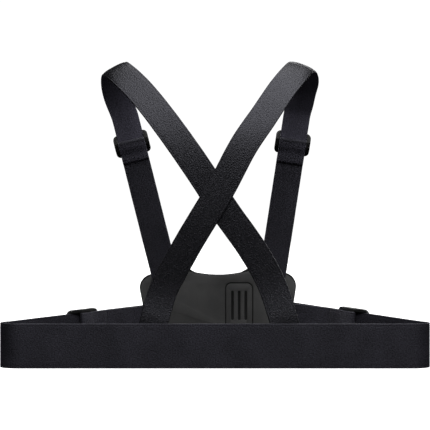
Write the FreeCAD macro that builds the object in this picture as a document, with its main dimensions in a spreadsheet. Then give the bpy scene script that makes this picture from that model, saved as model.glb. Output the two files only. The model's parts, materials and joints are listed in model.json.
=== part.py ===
"""Chest harness for a small camera: elastic webbing, four sliders, a padded chest plate and a tilting mount.

The harness stands as it would hang on a wearer, with the back belt at -Y and the chest plate at +Y.
Distances along Y are first measured from the outer face of the back belt, and back_y moves them into the frame,
so the origin is at the middle of the bottom of the whole harness. All sizes are in millimetres.
"""

import FreeCAD
import Part
import math
import os
import re

import Sketcher  # sketches need its geometry module loaded

V = FreeCAD.Vector

# alias: (size, what it is)
SIZES = {
    "webbing": (1.5, "thickness of all the elastic webbing"),
    "belt_width": (39.2, "waist belt webbing"),
    "strap_width": (25, "shoulder strap webbing"),
    "belt_span": (381.6, "left to right over the waist belt"),
    "bend_radius": (17, "belt centreline at its two ends"),
    "left_rise": (8.6, "how much higher the belt sits at the plate's left side than at the back"),
    "right_rise": (11.2, "the same at the plate's right side"),
    "chest_depth": (118, "outer face of the back belt to the wearer's face of the pad"),
    "back_y": (-88.25, "outer face of the back belt in the frame"),
    "plate_x": (3, "the plate hangs this far right of the belt's middle"),
    "pad_thick": (2.5, "chest pad"),
    "plate_thick": (2.5, "chest plate"),
    "pad_inset": (0.9, "rim of the plate that the pad leaves bare"),
    "plate_top": (75.7, "height of the hollow in the plate's top edge"),
    "ear_top": (85.4, "height of the plate's ears"),
    "ear_drop": (3.2, "how far the pad stays below the ears' inner corners"),
    "ear_x": (50.4, "plate's middle to each shoulder slot"),
    "ear_shift": (0.7, "how far right of its slot's middle each shoulder strap hangs"),
    "ear_z": (72.2, "height of the lower edge of each shoulder bar"),
    "ear_slot": (29, "length of a shoulder slot"),
    "ear_tilt": (11.2, "tilt of the shoulder slots in degrees"),
    "slot_gap": (5.5, "width of every webbing slot"),
    "plate_roll": (0.8, "tilt of the plate's outer corners, its right side up, in degrees"),
    "side_x": (73, "plate's middle to its straight sides"),
    "side_top": (49.7, "height where the plate's sides start to widen towards the ears"),
    "flare": (3.9, "how far the plate's outer corners stand out past its sides"),
    "shoulder_drop": (9.4, "ear's top to its outer corner"),
    "bar_wide": (5.2, "bars that the belt loops around"),
    "groove_deep": (1.1, "moulded grooves in the pad"),
    "groove_wide": (1.1, "moulded grooves in the pad"),
    "panel_x": (20, "plate's middle to the middle of the pad's grooved panel"),
    "panel_z": (48.2, "height of the panel's middle"),
    "panel_wide": (27, "the panel"),
    "panel_tall": (44, "the panel"),
    "rib_tall": (28, "the three grooves inside the panel"),
    "rib_pitch": (6.4, "one groove inside the panel to the next"),
    "rib_wide": (2.6, "the grooves inside the panel"),
    "hem": (0.3, "gap that webbing keeps from what it slides on"),
    "strap_rail": (3.7, "side rails of a shoulder slider"),
    "belt_rail": (2.8, "side rails of a belt slider"),
    "bar_thick": (1.8, "outer bars of a slider"),
    "post_thick": (2, "middle bar of a slider"),
    "strap_slider": (21.2, "length of a shoulder slider"),
    "belt_slider": (35, "length of a belt slider"),
    "strap_post": (2.4, "half the width of a shoulder slider's middle bar"),
    "belt_post": (3.4, "the same in a belt slider"),
    "strap_end": (3, "end bars of a shoulder slider"),
    "belt_end": (4, "end bars of a belt slider"),
    "strap_corner": (4, "corner radius of a shoulder slider"),
    "belt_corner": (6, "corner radius of a belt slider"),
    "socket_wide": (44.6, "mount socket"),
    "socket_low": (13.2, "height of the socket's lower end"),
    "socket_high": (59.2, "height of the socket's upper end"),
    "socket_floor": (2.5, "socket plate behind the buckle"),
    "socket_stop": (3, "ledge at the socket's lower end"),
    "channel_deep": (4.2, "room for the buckle's foot"),
    "channel_wide": (32.6, "room for the buckle's foot"),
    "lip_thick": (2, "lips that hold the buckle's foot"),
    "lip_gap": (25, "gap between the two lips"),
    "slack": (0.2, "play between the buckle and its socket"),
    "foot_tall": (41.6, "buckle's foot"),
    "foot_thick": (3.8, "buckle's foot"),
    "finger_wide": (4, "buckle's sprung fingers"),
    "slit_wide": (1.2, "gap between a finger and the buckle's foot"),
    "slit_tall": (22, "length of the sprung part of a finger"),
    "pivot_out": (18, "plate to the tilt axis"),
    "pivot_z": (41.2, "height of the tilt axis"),
    "prong_round": (7.5, "end radius of every prong"),
    "prong_thick": (3, "prongs of the three-prong ends"),
    "prong_gap": (3.2, "gaps of the three-prong ends"),
    "arm_long": (28, "tilt axis to the camera's bolt hole"),
    "bolt_round": (2.45, "radius of the thumb screw"),
    "bore_round": (2.5, "radius of the bolt holes"),
    "nut_round": (4.6, "corner radius of the hex nut"),
    "nut_thick": (3.8, "hex nut"),
    "knob_round": (7.6, "radius of the knob without its lobes"),
    "knob_long": (9, "knob"),
    "screw_x": (19.3, "socket's middle to its screws"),
    "screw_z": (15, "the same, up and down"),
    "screw_round": (1.5, "radius of the socket's screws"),
}

# Each station of a shoulder strap, from its sewn end up over the shoulder: the webbing's middle (x, y from the
# back belt, z), how far its width leans from level, and how far its width turns away from the wearer's back, in
# degrees.
LEFT_STRAP = [
    (67, 2.7, 15.2, 15, 0),
    (60.6, 3.3, 41.2, 16, 0),
    (56.8, 5.5, 54.1, 18, 0),
    (52.2, 7.8, 68, 20, 0),
    (42.7, 9.4, 88, 27, 0),
    (27.1, 10.1, 113.1, 33, 0),
    (9.8, 10.5, 137.2, 34, 0),
    (-6.6, 11.2, 162.7, 34, 0),
    (-24.9, 13.2, 190, 34, 3),
    (-47.1, 18.6, 220.8, 38, 11),
    (-73.5, 31, 252.4, 41, 15),
    (-89.5, 46, 267.4, 37, 16),
    (-93.2, 62, 269.3, 26.5, 13),
    (-94.3, 80, 260.8, 21, 8),
    (-92.2, 93, 247.2, 17, 3),
    (-89.1, 98.6, 238.2, 15, 1),
]
RIGHT_STRAP = [
    (-60, 2.6, 15.2, -14, 0),
    (-53.2, 3.2, 42.2, -15, 0),
    (-50, 5.2, 54.1, -18, 0),
    (-46.4, 6.7, 66, -21, 0),
    (-36.6, 7.5, 86, -27, 0),
    (-22.1, 7.4, 112.1, -30, 0),
    (-6.3, 7.7, 138.2, -31, 0),
    (8.3, 8.7, 163.4, -31, 0),
    (26.6, 12.2, 197.9, -32, -2),
    (42.9, 19.2, 221.9, -34, -10),
    (60.6, 31, 248.3, -36, -16),
    (72.9, 43, 264, -36, -20),
    (81.4, 61, 271.9, -23, -26),
    (84.7, 76, 262.6, -17, -15),
    (82.4, 88, 251.2, -12, -7),
    (79.8, 97, 238.7, -9, -2),
]
# Each shoulder strap over the chest: its tilt in degrees from upright, the height where it leaves the straight,
# the slider's place along it and the length of webbing from the slider to the sewn end.
LEFT_LEG = {"side": -1, "tilt": 13.85, "top": 224, "slider": 134.3, "tail": 16.8}
RIGHT_LEG = {"side": 1, "tilt": 8.46, "top": 227.2, "slider": 132.4, "tail": 19}
LEG_LEAN = 7.9
STRAP_STEP = 8
CORNERS = ((1, 1), (-1, 1), (-1, -1), (1, -1))
BELT_SLIDER_AT = 66.8
BELT_TAIL = 24

doc = FreeCAD.newDocument("chest_harness")


def make_sheet():
    """Puts every driving size in the spreadsheet, with its alias and what it is."""
    sheet = doc.addObject("Spreadsheet::Sheet", "Sizes")
    for row, (alias, (size, meaning)) in enumerate(SIZES.items(), start=1):
        sheet.set(f"A{row}", meaning)
        sheet.set(f"B{row}", str(size))
        sheet.setAlias(f"B{row}", alias)
    doc.recompute()
    return sheet


SHEET = make_sheet()


def size(alias):
    """A driving size, read back from the sheet."""
    return float(getattr(SHEET, alias))


def bind(obj, prop, text):
    """Binds a property to a formula in the sheet's aliases."""
    formula = re.sub(r"[a-z_]+", lambda m: "Sizes." + m[0] if m[0] in SIZES else m[0], str(text))
    obj.setExpression(prop, formula)


def place(obj, x="0", y="0", z="0"):
    for axis, text in zip("xyz", (x, y, z)):
        bind(obj, f"Placement.Base.{axis}", text)
    return obj


def box(name, wide, deep, tall, x, y, z):
    """A block by its sizes along X, Y and Z and its lowest corner."""
    made = doc.addObject("Part::Box", name)
    for prop, text in (("Length", wide), ("Width", deep), ("Height", tall)):
        bind(made, prop, text)
    return place(made, x, y, z)


def rod(name, radius, length, x, y, z, turn=(V(0, 1, 0), 90), kind="Part::Cylinder"):
    """A round bar from (x, y, z), along +X unless turned. A prism kind is read by its corner radius."""
    made = doc.addObject(kind, name)
    made.Placement.Rotation = FreeCAD.Rotation(*turn)
    bind(made, "Radius" if kind == "Part::Cylinder" else "Circumradius", radius)
    bind(made, "Height", length)
    return place(made, x, y, z)


def joined(name, parts):
    made = doc.addObject("Part::MultiFuse", name)
    made.Shapes = parts
    made.Refine = True
    return made


def cut(name, base, tools):
    made = doc.addObject("Part::Cut", name)
    made.Base = base
    made.Tool = tools[0] if len(tools) == 1 else joined(name + "_tools", tools)
    return made


def rounded(corners):
    """A closed outline through corners (x, y, radius), as straight runs joined by tangent arcs."""
    edges, runs = [], []
    for i, (x, y, radius) in enumerate(corners):
        here = V(x, y, 0)
        back = (V(*corners[i - 1][:2], 0) - here).normalize()
        on = (V(*corners[(i + 1) % len(corners)][:2], 0) - here).normalize()
        half = back.getAngle(on) / 2
        if radius == 0 or math.pi / 2 - half < 1e-6:
            runs.append((here, here))
            continue
        reach = radius / math.tan(half)
        start, end = here + back * reach, here + on * reach
        middle = (back + on).normalize()
        crown = here + middle * (radius / math.sin(half) - radius)
        edges.append(Part.Arc(start, crown, end))
        runs.append((start, end))
    for i, (_, start) in enumerate(runs):
        end = runs[(i + 1) % len(runs)][0]
        if start.distanceToPoint(end) > 1e-6:
            edges.append(Part.LineSegment(start, end))
    return edges


def sketch(name, outlines, turn=FreeCAD.Rotation()):
    """A sketch of one or more closed outlines, each a list of curves."""
    made = doc.addObject("Sketcher::SketchObject", name)
    for outline in outlines:
        made.addGeometry(outline, False)
    made.Placement.Rotation = turn
    return made


def extrusion(name, profile, direction, length, both_ways=False):
    made = doc.addObject("Part::Extrusion", name)
    made.Base = profile
    made.DirMode = "Custom"
    made.Dir = direction
    made.Solid = True
    made.Symmetric = both_ways
    bind(made, "LengthFwd", length)
    return made


def oblong(wide, tall, radius, x=0, y=0):
    """A rounded rectangle about (x, y)."""
    return rounded([(x + a * wide / 2, y + b * tall / 2, radius) for a, b in CORNERS])


UPRIGHT = FreeCAD.Rotation(V(1, 0, 0), 90)


# ---- chest plate and pad ----


def plate_outline(drop=0):
    """The plate seen from the wearer: a hollow top edge between two ears, and straight sides for the belt."""
    side, ear, top = size("side_x"), size("ear_top"), size("plate_top")
    roll, corners = math.radians(size("plate_roll")), [(0, top, 105)]
    for way in (1, -1):
        x, z = way * (side + size("flare")), ear - size("shoulder_drop")
        outer = (x - (z - size("pivot_z")) * roll, z + x * roll, 13)
        waist = (way * (side - 0.7), size("side_top"), 30)
        run = [(way * 22, top + 4.2, 6), (way * 32, ear - drop, 4.5), outer, waist, (way * side, 0, 12)]
        corners += run[::way]
    return rounded(corners)


def slot_tools(name):
    """Cutters for the two shoulder slots and the two belt slots, long enough for pad and plate together."""
    tools = []
    through = 20
    for side, word in ((-1, "left"), (1, "right")):
        tilt = math.radians(size("ear_tilt"))
        drop = size("slot_gap") / 2
        ear = sketch(f"{name}_{word}_ear", [oblong(size("ear_slot"), size("slot_gap"), 2)])
        turn = FreeCAD.Rotation(V(0, 1, 0), side * size("ear_tilt"))
        ear.Placement.Rotation = turn.multiply(UPRIGHT)
        x = size("plate_x") + side * (size("ear_x") - drop * math.sin(tilt))
        ear.Placement.Base = V(x, size("back_y") + size("chest_depth"), size("ear_z") - drop * math.cos(tilt))
        tall = size("belt_width") + 2.4
        inner = size("side_x") - size("bar_wide") - size("slot_gap") / 2
        belt = sketch(f"{name}_{word}_belt", [oblong(size("slot_gap"), tall, 2)], UPRIGHT)
        middle = size(f"{word}_rise") + size("belt_width") / 2
        belt.Placement.Base = V(size("plate_x") + side * inner, size("back_y") + size("chest_depth"), middle)
        for profile in (ear, belt):
            tool = extrusion(profile.Name + "_cut", profile, V(0, 1, 0), through, both_ways=True)
            tools.append(tool)
    return tools


def screw_places():
    """The four places where a screw holds the socket to the plate."""
    middle = (size("socket_low") + size("socket_high")) / 2
    return [(i * size("screw_x"), middle + k * size("screw_z")) for i in (-1, 1) for k in (-1, 1)]


def make_plate():
    outline = sketch("plate_outline", [plate_outline()], UPRIGHT)
    place(outline, "plate_x", "back_y + chest_depth + pad_thick", "0")
    slab = extrusion("plate_slab", outline, V(0, 1, 0), "plate_thick")
    tools = slot_tools("plate")
    for i, (x, z) in enumerate(screw_places()):
        hole = rod(f"plate_hole_{i}", "screw_round + 0.1", "plate_thick + 2", f"plate_x + {x}",
                   "back_y + chest_depth + pad_thick - 1", z, (V(1, 0, 0), -90))
        sink = doc.addObject("Part::Cone", f"plate_sink_{i}")
        sink.Placement.Rotation = FreeCAD.Rotation(V(1, 0, 0), -90)
        bind(sink, "Radius1", "2 * screw_round + 0.15")
        bind(sink, "Radius2", "screw_round + 0.1")
        bind(sink, "Height", "screw_round + 0.1")
        place(sink, f"plate_x + {x}", "back_y + chest_depth + pad_thick", z)
        tools += [hole, sink]
    for leg, word in ((shoulder_leg(LEFT_LEG), "left"), (shoulder_leg(RIGHT_LEG), "right")):
        relief = doc.addObject("Part::Box", f"plate_{word}_relief")
        bind(relief, "Length", "ear_top - ear_z + 8")
        bind(relief, "Width", "strap_width + 4 * hem")
        bind(relief, "Height", "8")
        hem = size("hem")
        corner = leg.point(leg.low, -size("strap_width") / 2 - 2 * hem, size("webbing") / 2 + hem - 8)
        relief.Placement = FreeCAD.Placement(corner, leg.placement().Rotation)
        tools.append(relief)
    return cut("chest_plate", slab, tools)


def make_pad():
    """The soft liner on the wearer's side, with the plate's slots and a moulded panel of grooves."""
    outline = sketch("pad_outline", [plate_outline(size("ear_drop"))], UPRIGHT)
    place(outline, "plate_x", "back_y + chest_depth", "0")
    inset = doc.addObject("Part::Offset2D", "pad_inset_outline")
    inset.Source = outline
    bind(inset, "Value", "-pad_inset")
    slab = extrusion("pad_slab", inset, V(0, 1, 0), "pad_thick")
    x, z, groove, corner = size("panel_x"), size("panel_z"), size("groove_wide"), 6
    wide, tall = size("panel_wide"), size("panel_tall")
    frame = [oblong(wide - 2 * inside, tall - 2 * inside, corner - inside, x, z) for inside in (0, groove)]
    ribs = [oblong(size("rib_wide"), size("rib_tall"), 1.2, x + k * size("rib_pitch"), z) for k in (-1, 0, 1)]
    grooves = sketch("pad_grooves", frame + ribs, UPRIGHT)
    place(grooves, "plate_x", "back_y + chest_depth - 1", "0")
    tool = extrusion("pad_groove_cut", grooves, V(0, 1, 0), "groove_deep + 1")
    return cut("chest_pad", slab, slot_tools("pad") + [tool])


# ---- mount socket, buckle, arm and thumb screw ----

FACE = "back_y + chest_depth + pad_thick + plate_thick"


def make_socket():
    lip_y = f"{FACE} + socket_floor + channel_deep"
    tall, deep = "socket_high - socket_low", "socket_floor + channel_deep"
    rail = "(socket_wide - channel_wide) / 2"
    left_x = "plate_x - socket_wide / 2"
    parts = [box("socket_back", "socket_wide", "socket_floor", tall, left_x, FACE, "socket_low")]
    for side, word in ((-1, "left"), (1, "right")):
        rail_x = left_x if side < 0 else "plate_x + channel_wide / 2"
        lip_x = left_x if side < 0 else "plate_x + lip_gap / 2"
        lip = "(socket_wide - lip_gap) / 2"
        parts.append(box(f"socket_{word}_rail", rail, deep, tall, rail_x, FACE, "socket_low"))
        parts.append(box(f"socket_{word}_lip", lip, "lip_thick", tall, lip_x, lip_y, "socket_low"))
    parts.append(box("socket_ledge", "socket_wide", f"{deep} + lip_thick", "socket_stop", left_x, FACE,
                     "socket_low"))
    tools = []
    for i, (x, z) in enumerate(screw_places()):
        tools.append(rod(f"socket_hole_{i}", "screw_round - 0.02", "7", f"plate_x + {x}", f"{FACE} - 1", z,
                         (V(1, 0, 0), -90)))
    return cut("mount_socket", joined("socket_body", parts), tools)


def make_screws():
    """Four countersunk screws from under the pad into the socket's rails."""
    screws = []
    for i, (x, z) in enumerate(screw_places()):
        shank = rod(f"screw_shank_{i}", "screw_round - 0.05", "8", f"plate_x + {x}",
                    "back_y + chest_depth + pad_thick + 0.1", z, (V(1, 0, 0), -90))
        head = doc.addObject("Part::Cone", f"screw_head_{i}")
        head.Placement.Rotation = FreeCAD.Rotation(V(1, 0, 0), -90)
        bind(head, "Radius1", "2 * screw_round")
        bind(head, "Radius2", "screw_round - 0.05")
        bind(head, "Height", "screw_round")
        place(head, f"plate_x + {x}", "back_y + chest_depth + pad_thick + 0.1", z)
        drive = rod(f"screw_drive_{i}", "0.9", "1.1", f"plate_x + {x}", "back_y + chest_depth + pad_thick", z,
                    (V(1, 0, 0), -90), "Part::Prism")
        screws.append(cut(f"screw_{i}", joined(f"screw_body_{i}", [shank, head]), [drive]))
    group = doc.addObject("Part::Compound", "socket_screws")
    group.Links = screws
    return group


def prong(name, wide, x, y, z, reach, back):
    """A prong across X: a round end about (y, z) and a tongue that runs back to a root, reach away along Y."""
    eye = rod(name + "_eye", "prong_round", wide, x, y, z)
    start = y if back > 0 else f"{y} - ({reach})"
    tongue = box(name + "_tongue", wide, reach, "2 * prong_round", x, start, f"{z} - prong_round")
    return [eye, tongue]


PIVOT_Y = f"{FACE} + pivot_out"
EYE_Y = f"{PIVOT_Y} + arm_long"


def three_prongs(name, y, reach, back):
    parts = []
    for k in (-1, 0, 1):
        x = f"plate_x - prong_thick / 2 + {k} * (prong_thick + prong_gap)"
        parts += prong(f"{name}_{k + 1}", "prong_thick", x, y, "pivot_z", reach, back)
    return parts


def make_buckle():
    """Slides down into the socket. Two sprung fingers hook over the socket's upper end."""
    foot_y = f"{FACE} + socket_floor + slack"
    foot_z = "socket_low + socket_stop + slack"
    isle = "pivot_out - prong_round - 1 - socket_floor - slack"
    foot_x, isle_x = "plate_x - channel_wide / 2 + slack", "plate_x - lip_gap / 2 + slack"
    parts = [
        box("buckle_foot", "channel_wide - 2 * slack", "foot_thick", "foot_tall", foot_x, foot_y, foot_z),
        box("buckle_island", "lip_gap - 2 * slack", isle, "foot_tall", isle_x, foot_y, foot_z),
    ]
    for side, word in ((-1, "left"), (1, "right")):
        inner_x = "plate_x + channel_wide / 2 - slack - finger_wide"
        finger_x = foot_x if side < 0 else inner_x
        hook_x = "plate_x - channel_wide / 2 - 2.5" if side < 0 else inner_x
        parts.append(box(f"buckle_{word}_finger", "finger_wide", "foot_thick", "foot_tall + 8", finger_x,
                         foot_y, foot_z))
        parts.append(box(f"buckle_{word}_hook", "finger_wide + slack + 2.5", "foot_thick", "4", hook_x, foot_y,
                         "socket_high + slack"))
    root = "prong_round + 1.5"
    parts += three_prongs("buckle_prong", PIVOT_Y, root, -1)
    nut_x = "plate_x - 1.5 * prong_thick - prong_gap - nut_thick + 0.6"
    boss = rod("buckle_boss", "nut_round + 1.4", "nut_thick - 0.6", nut_x, PIVOT_Y, "pivot_z")
    body = joined("buckle_body", parts + [boss])
    bore = rod("buckle_bore", "bore_round", "40", "plate_x - 20", PIVOT_Y, "pivot_z")
    seat = rod("buckle_nut_seat", "nut_round + 0.1", "nut_thick", nut_x, PIVOT_Y, "pivot_z", kind="Part::Prism")
    gaps = []
    slit_z = f"{foot_z} + foot_tall - slit_tall"
    for side, word in ((-1, "left"), (1, "right")):
        right_gap = "plate_x + channel_wide / 2 - slack - finger_wide - slit_wide"
        gap_x = f"{foot_x} + finger_wide" if side < 0 else right_gap
        gaps.append(box(f"buckle_{word}_slit", "slit_wide", "foot_thick + 2", "slit_tall + 2", gap_x,
                        f"{foot_y} - 1", slit_z))
        trim_x = "plate_x - lip_gap / 2 - 1" if side < 0 else "plate_x + lip_gap / 2 - 1.9"
        gaps.append(box(f"buckle_{word}_trim", "2.9", "20", "slit_tall + 1", trim_x, f"{foot_y} + foot_thick",
                        slit_z))
    return cut("quick_release_buckle", body, [bore, seat] + gaps)


def make_arm():
    """Two prongs that sit in the buckle's gaps, a solid middle, and three prongs for the camera's housing."""
    parts = []
    for side in (-1, 1):
        x = f"plate_x - prong_gap / 2 + 0.15 + {side} * (prong_thick + prong_gap) / 2"
        parts += prong(f"arm_inner_{side + 1}", "prong_gap - 0.3", x, PIVOT_Y, "pivot_z", "arm_long / 2", 1)
    parts += three_prongs("arm_outer", EYE_Y, "arm_long / 2 - 1.5", -1)
    middle_x, middle_y = "plate_x - 1.5 * prong_thick - prong_gap", f"{PIVOT_Y} + prong_round + 1.5"
    parts.append(box("arm_middle", "3 * prong_thick + 2 * prong_gap", "arm_long - 2 * prong_round - 3",
                     "2 * prong_round", middle_x, middle_y, "pivot_z - prong_round"))
    body = joined("arm_body", parts)
    bores = [rod("arm_inner_bore", "bore_round", "30", "plate_x - 15", PIVOT_Y, "pivot_z"),
             rod("arm_outer_bore", "bore_round", "30", "plate_x - 15", EYE_Y, "pivot_z")]
    return cut("tilt_arm", body, bores)


def make_thumb_screw():
    """Steel screw with a lobed plastic knob on its right end, and its nut in the buckle's left prong."""
    edge = "(1.5 * prong_thick + prong_gap)"
    shank = rod("thumb_shank", "bolt_round", f"2 * ({edge}) + nut_thick + 4", f"plate_x - {edge} - nut_thick",
                PIVOT_Y, "pivot_z")
    lobes = [rod("knob_core", "knob_round", "knob_long", f"plate_x + {edge} + 0.5", PIVOT_Y, "pivot_z")]
    for k in range(3):
        angle = math.radians(120 * k + 90)
        out = size("knob_round") - 2.4
        lobes.append(rod(f"knob_lobe_{k}", "3", "knob_long", f"plate_x + {edge} + 0.5",
                         f"{PIVOT_Y} + {out * math.cos(angle):.3f}", f"pivot_z + {out * math.sin(angle):.3f}"))
    seat = rod("knob_seat", "bolt_round", "3.5", f"plate_x + {edge} + 0.5", PIVOT_Y, "pivot_z")
    knob = cut("thumb_knob", joined("knob_body", lobes), [seat])
    nut_x = f"plate_x - {edge} - nut_thick"
    nut_body = rod("nut_body", "nut_round", "nut_thick - 0.2", f"{nut_x} + 0.7", PIVOT_Y, "pivot_z",
                   kind="Part::Prism")
    nut_bore = rod("nut_bore", "bolt_round + 0.05", "nut_thick + 4", f"{nut_x} - 1", PIVOT_Y, "pivot_z")
    return shank, knob, cut("hex_nut", nut_body, [nut_bore])


# ---- webbing, sliders and their frames ----


class Leg:
    """A straight run of webbing from the plate, with its own frame.

    u runs along it away from the plate, v across it, and n towards the wearer. The origin is in the middle of
    the webbing, where the slider sits."""

    def __init__(self, origin, along, across):
        self.u = along.normalize()
        self.v = across.normalize()
        self.n = self.u.cross(self.v)
        self.origin = origin

    def point(self, u, v=0, n=0):
        return self.origin + self.u * u + self.v * v + self.n * n

    def placement(self):
        turn = FreeCAD.Rotation(self.u, self.v, self.n, "XYZ")
        return FreeCAD.Placement(self.origin, turn)


def shoulder_leg(leg):
    """The frame of a shoulder strap's straight run over the chest."""
    side, tilt, lean = leg["side"], math.radians(leg["tilt"]), math.radians(LEG_LEAN)
    up = V(side * math.tan(tilt), -math.tan(lean), 1).normalize()
    across = V(-math.cos(tilt), 0, side * math.sin(tilt))
    loop = size("pad_thick") / 2 + size("plate_thick") / 2 + size("hem") + size("webbing") / 2
    ear_y = size("back_y") + size("chest_depth") + size("pad_thick")
    ear = V(size("plate_x") + side * size("ear_x") + size("ear_shift"), ear_y, size("ear_z"))
    found = Leg(V(), up, across)
    found.origin = ear - found.n * loop + up * leg["slider"]
    found.loop, found.low = loop, -leg["slider"]
    found.high = (leg["top"] - found.origin.z) / up.z
    return found


def belt_leg(side, rise):
    """The frame of the belt's straight run from the plate to its bend, tangent to the bend and to the loop."""
    half = size("webbing") / 2
    bar_deep = size("pad_thick") + size("plate_thick")
    loop = math.hypot(size("bar_wide") / 2, bar_deep / 2) + 2 * size("hem") + half
    bend_x = size("belt_span") / 2 - half - size("bend_radius")
    bend = V(side * bend_x, size("back_y") + half + size("bend_radius"), 0)
    bar_x = size("plate_x") + side * (size("side_x") - size("bar_wide") / 2)
    bar = V(bar_x, size("back_y") + size("chest_depth") + size("pad_thick"), 0)
    gap = bend - bar
    turn = math.acos((loop - size("bend_radius")) / gap.Length)
    heading = math.atan2(gap.y, gap.x) + side * turn
    outward = V(math.cos(heading), math.sin(heading), 0)
    run = gap.Length * math.sin(turn)
    flat = V(side * outward.y, -side * outward.x, 0)
    along = (flat * run - V(0, 0, size(rise))).normalize()
    found = Leg(V(), along, along.cross(outward))
    start = bar + outward * loop + V(0, 0, size(rise) + size("belt_width") / 2)
    found.origin = start + along * BELT_SLIDER_AT
    found.loop, found.low = loop, -BELT_SLIDER_AT
    found.high = math.hypot(run, size(rise)) - BELT_SLIDER_AT
    found.bend, found.bar, found.outward = bend, bar, outward
    found.flat, found.run, found.rise = flat, run, rise
    return found


def strip(leg, name, corners, wide, holes=()):
    """Webbing that keeps one section across its width: an outline in the leg's u and n, extruded across."""
    profile = sketch(name + "_profile", [rounded(corners)] + [rounded(hole) for hole in holes], UPRIGHT)
    made = extrusion(name, profile, V(0, 1, 0), wide, both_ways=True)
    made.Placement = leg.placement()
    return made


def half_turn(centre, start, via, reach):
    """Webbing that turns half way round a centre, from its side start through its side via.

    Two arcs and the far end."""
    half = size("webbing") / 2
    inner, outer = (Part.Arc(centre + start * radius, centre + via * radius, centre - start * radius)
                    for radius in (reach - half, reach + half))
    return [inner, outer, Part.LineSegment(inner.EndPoint, outer.EndPoint)]


def shoulder_run(leg, name):
    """The straight run and its half turn around the ear's bar, ready to be fused to the rest of its strap."""
    turn = half_turn(V(leg.low, leg.loop, 0), V(0, -1, 0), V(-1, 0, 0), leg.loop)
    inner, outer = turn[0].StartPoint, turn[1].StartPoint
    far = [V(leg.high, end.y, 0) for end in (inner, outer)]
    run = [Part.LineSegment(inner, far[0]), Part.LineSegment(far[0], far[1]), Part.LineSegment(far[1], outer)]
    profile = sketch(name + "_profile", [turn + run], UPRIGHT)
    made = extrusion(name + "_run", profile, V(0, -1, 0), "strap_width", both_ways=True)
    made.Placement = leg.placement()
    return made


def make_slider(leg, name, kind):
    """A slider in the leg's frame: outer bars outside the webbing and a proud middle bar towards the wearer."""
    half, hem, web = size("webbing") / 2, size("hem"), size("webbing")
    under = -half - hem
    low, post = under - size("bar_thick"), half + hem + web + 0.1
    high = post + size("post_thick")
    length, inside = size(f"{kind}_slider"), size(f"{kind}_width") + 2 * hem
    outside = inside + 2 * size(f"{kind}_rail")
    end, bar = length / 2, size(f"{kind}_end")
    rings = [oblong(length, outside, size(f"{kind}_corner")), oblong(length - 2 * bar, inside, 0.8)]
    ring_profile = sketch(name + "_ring_profile", rings)
    ring_profile.Placement.Base = V(0, 0, low)
    ring = extrusion(name + "_ring", ring_profile, V(0, 0, 1), high - low)
    crown = 0.3 * end
    side = [(end, low, 0), (end, under + 0.4, 1), (crown, high, 3)]
    side += [(-u, n, radius) for u, n, radius in reversed(side)]
    side_profile = sketch(name + "_side_profile", [rounded(side)], UPRIGHT)
    bowed = extrusion(name + "_side", side_profile, V(0, 1, 0), outside + 2, both_ways=True)
    frame = doc.addObject("Part::Common", name + "_frame")
    frame.Base, frame.Tool = ring, bowed
    tunnel = box(name + "_tunnel", 2 * length, inside, 2 * high, -length, -inside / 2, under)
    open_frame = cut(name + "_open", frame, [tunnel])
    middle = size(f"{kind}_post")
    post_bar = box(name + "_post", 2 * middle, inside + 0.4, "post_thick", -middle, -inside / 2 - 0.2, post)
    slider = joined(name, [open_frame, post_bar])
    slider.Placement = leg.placement()
    return slider


def make_fold(leg, name, kind, tail):
    """The webbing's end, turned around the slider's middle bar and sewn to itself."""
    web, low, middle = size("webbing"), size("webbing") / 2 + size("hem"), size(f"{kind}_post")
    bar_low, bar_high = low + web, low + web + size("post_thick") + 0.2
    top = bar_high + web
    reach = middle + 0.1 + web
    outer = [(-tail, low, 0), (reach, low, 2.2), (reach, top, 2.2), (-reach, top, 3)]
    outer += [(-reach - 5, low + 2 * web, 3), (-tail, low + 2 * web, 0)]
    inner = [(-reach - 2, bar_low, 0), (middle + 0.1, bar_low, 0.3), (middle + 0.1, bar_high, 0.3),
             (-reach + 0.6, bar_high, 0)]
    return strip(leg, name, outer, f"{kind}_width", [inner])


def make_return(leg, name, kind, tail):
    """The return run, from the half turn around the plate's bar up to the sewn fold."""
    half, w = size("webbing") / 2, size(f"{kind}_width") / 2
    high = size("webbing") + size("hem")
    fold_end = [leg.point(-tail, a * w, high + b * half) for a, b in CORNERS]
    if hasattr(leg, "bar"):
        start = leg.bar - leg.outward * leg.loop + V(0, 0, size(leg.rise) + w)
        sides = [V(0, 0, leg.v.z).normalize() * w, leg.outward * -half]
    else:
        start = leg.point(leg.low, 0, 2 * leg.loop)
        sides = [leg.v * w, leg.n * half]
    bar_end = [start + sides[0] * a + sides[1] * b for a, b in CORNERS]
    made = doc.addObject("Part::Feature", name)
    made.Shape = Part.makeLoft([Part.makePolygon(end + end[:1]) for end in (bar_end, fold_end)], True, True)
    return made


def station(x, y, z, lean, turn):
    """A station's middle and the direction of its width."""
    lean, turn = math.radians(lean), math.radians(turn)
    across = V(math.cos(lean) * math.cos(turn), math.sin(turn), math.sin(lean) * math.cos(turn))
    return V(x, y + size("back_y"), z), across


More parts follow.
